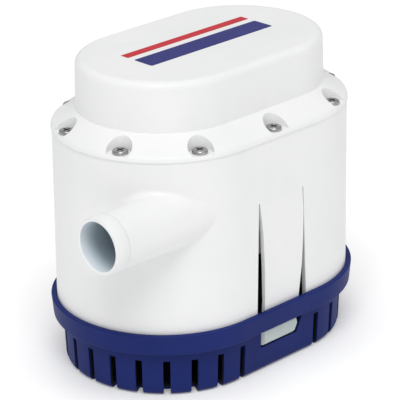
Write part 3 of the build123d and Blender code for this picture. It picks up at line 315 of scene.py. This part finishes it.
def glass(name):
    k = Mat(name)
    k.color(k.ramp(k.noise(300.0, 2.0), [(0.3, srgb(180, 205, 190)), (0.7, srgb(196, 218, 204))]))
    k.rough(k.mapr(k.noise(500.0, 2.0), 0.03, 0.09, 0.3, 0.7))
    k.set(IOR=1.5, Transmission_Weight=0.6)
    return k.m


MAT["glass"] = glass("reed_glass")

NODE_MAT = {
    "strainer_base": "blue", "body_end_spigot": "white", "body_end_far": "white", "body_side_front": "white", "body_side_rear": "white", "hose_spigot": "white", "body_rim": "white", "bulkhead": "white", "discharge_elbow": "white", "latch_front": "white_tongue", "latch_rear": "white_tongue",
    "motor_cover": "white_cover", "cover_gasket": "rubber", "cover_screws": "stainless", "cable_gland": "black",
    "volute_casing": "black", "volute_seal": "rubber", "inlet_plate": "black", "volute_screws": "stainless",
    "motor_can": "steel", "motor_screws": "stainless", "lower_bearing": "bronze", "upper_bearing": "bronze",
    "field_magnets": "ferrite", "motor_end_cap": "black", "motor_terminals": "copper", "brushes": "carbon",
    "brush_springs": "steel", "shaft_seal": "rubber", "shaft": "stainless", "armature_core": "steel",
    "armature_windings": "copper", "commutator": "copper", "impeller": "black", "impeller_clip": "steel",
    "float_pin": "stainless", "float_body": "foam", "float_magnet": "ferrite", "reed_switch": "glass",
    "control_board": "board", "board_screws": "stainless", "relay": "black",
}
NODE_MAT = {n: m for n, m in NODE_MAT.items() if n in NODES}
missing = set(NODES) - set(NODE_MAT)
if missing:
    raise RuntimeError("no material for " + ", ".join(sorted(missing)))


def node_obj(name):
    o = NODES[name]
    return bpy.data.objects[o] if isinstance(o, str) else o


for name, key in NODE_MAT.items():
    o = node_obj(name)
    if not o.material_slots:
        o.data.materials.append(MAT[key])
    for s in o.material_slots:
        s.material = MAT[key]

# ---------------------------------------------------------------- pieces that CAD keeps plain

def mesh_obj(name, verts, faces, mat):
    """A closed mesh from points and faces, with its normals outward."""
    me = bpy.data.meshes.new(name)
    bm = bmesh.new()
    vs = [bm.verts.new(v) for v in verts]
    for f in faces:
        bm.faces.new([vs[i] for i in f])
    bmesh.ops.recalc_face_normals(bm, faces=bm.faces)
    bm.to_mesh(me)
    bm.free()
    o = bpy.data.objects.new(name, me)
    scene.collection.objects.link(o)
    me.materials.append(mat)
    return o


def web(name, side):
    """The thin living hinge that joins a latch's top edge to the wall above it."""
    z0, z1, rows, cols = 0.09537, 0.09567, 4, 2
    y0, y1 = 0.0549, 0.05665
    x0, x1 = sorted((side * 0.01535, -side * 0.01545))
    verts, faces = [], []
    for i in range(rows + 1):
        z = z0 + (z1 - z0) * i / rows
        for x, y in ((x0, y1), (x1, y1), (x1, y0), (x0, y0)):
            verts.append((x, side * y, z))
    for i in range(rows):
        for j in range(4):
            a, b = 4 * i + j, 4 * i + (j + 1) % 4
            faces.append((a, b, b + 4, a + 4))
    faces.append((0, 1, 2, 3))
    faces.append(tuple(4 * rows + j for j in range(4)))
    o = mesh_obj(name, verts, faces, MAT["white"])
    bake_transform(o)
    return o


web("latch_front_web", -1)
web("latch_rear_web", 1)


def lip_sleeve():
    """The slightly raised band at the spigot's mouth that helps the hose to grip."""
    n = 96
    prof = [(-0.1084, 0.01420), (-0.1084, 0.01448), (-0.10825, 0.01456), (-0.10105, 0.01456), (-0.1009, 0.01448), (-0.1009, 0.01420)]
    verts, faces = [], []
    for i in range(n):
        t = 2 * math.pi * i / n
        for x, r in prof:
            verts.append((x, -0.0394 + r * math.cos(t), 0.0967 + r * math.sin(t)))
    m = len(prof)
    for i in range(n):
        for j in range(m):
            a, b = i * m + j, i * m + (j + 1) % m
            c, d = ((i + 1) % n) * m + (j + 1) % m, ((i + 1) % n) * m + j
            faces.append((a, b, c, d))
    o = mesh_obj("hose_spigot_band", verts, faces, MAT["white"])
    for p in o.data.polygons:
        p.use_smooth = True
    o.data.set_sharp_from_angle(angle=math.radians(30))
    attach(o, "housing")
    return o


lip_sleeve()

# ---------------------------------------------------------------- floor, lights, camera

me = bpy.data.meshes.new("floor")
me.from_pydata([(-6, -6, 0), (6, -6, 0), (6, 6, 0), (-6, 6, 0)], [], [(0, 1, 2, 3)])
floor = bpy.data.objects.new("floor", me)
scene.collection.objects.link(floor)
floor.location = (0, 0, -0.0002)
kf = Mat("studio_paper")
kf.color(kf.ramp(kf.noise(3.0, 2.0), [(0.3, (0.93, 0.93, 0.93, 1)), (0.7, (0.95, 0.95, 0.95, 1))]))
kf.set(Roughness=0.95, Specular_IOR_Level=0.1, Emission_Color=(1.0, 1.0, 1.0, 1.0), Emission_Strength=0.13)
me.materials.append(kf.m)

world = bpy.data.worlds.new("studio")
scene.world = world
world.use_nodes = True
bg = world.node_tree.nodes["Background"]
bg.inputs["Color"].default_value = (1.0, 1.0, 1.0, 1)
tc = world.node_tree.nodes.new("ShaderNodeTexCoord")
sep = world.node_tree.nodes.new("ShaderNodeSeparateXYZ")
grad = world.node_tree.nodes.new("ShaderNodeMath")
grad.operation = "MULTIPLY_ADD"
world.node_tree.links.new(tc.outputs["Generated"], sep.inputs[0])
world.node_tree.links.new(sep.outputs["Z"], grad.inputs[0])
grad.inputs[1].default_value = 0.36
grad.inputs[2].default_value = 0.42
world.node_tree.links.new(grad.outputs[0], bg.inputs["Strength"])


def area(name, loc, target, size, power, color=(1, 1, 1)):
    d = bpy.data.lights.new(name, "AREA")
    d.shape = "RECTANGLE"
    d.size, d.size_y = size
    d.energy = power
    d.color = color
    o = bpy.data.objects.new(name, d)
    scene.collection.objects.link(o)
    o.location = loc
    o.rotation_mode = "QUATERNION"
    o.rotation_quaternion = (Vector(target) - Vector(loc)).to_track_quat("-Z", "Y")
    return o


area("softbox_key", (-1.62, -1.66, 3.90), (0, 0, 0.09), (2.4, 2.0), 94.0)

cam_d = bpy.data.cameras.new("camera")
cam = bpy.data.objects.new("camera", cam_d)
scene.collection.objects.link(cam)
scene.camera = cam
cam_d.sensor_width = 36.0
cam_d.lens = 200.8
cam_d.clip_start, cam_d.clip_end = 0.05, 50.0
back = Vector((-0.64446, -0.65966, 0.38668)).normalized()
right0 = Vector((0.71530, -0.69881, 0.0)).normalized()
up0 = back.cross(right0)
roll = 0.0134
right = (right0 - roll * up0).normalized()
up = back.cross(right)
cam.matrix_world = Matrix((
    (right.x, up.x, back.x, -0.7512),
    (right.y, up.y, back.y, -0.7671),
    (right.z, up.z, back.z, 0.5268),
    (0, 0, 0, 1),
))

scene.view_settings.view_transform = "Standard"
scene.view_settings.look = "None"
scene.view_settings.exposure = 0.0
scene.view_settings.gamma = 1.0
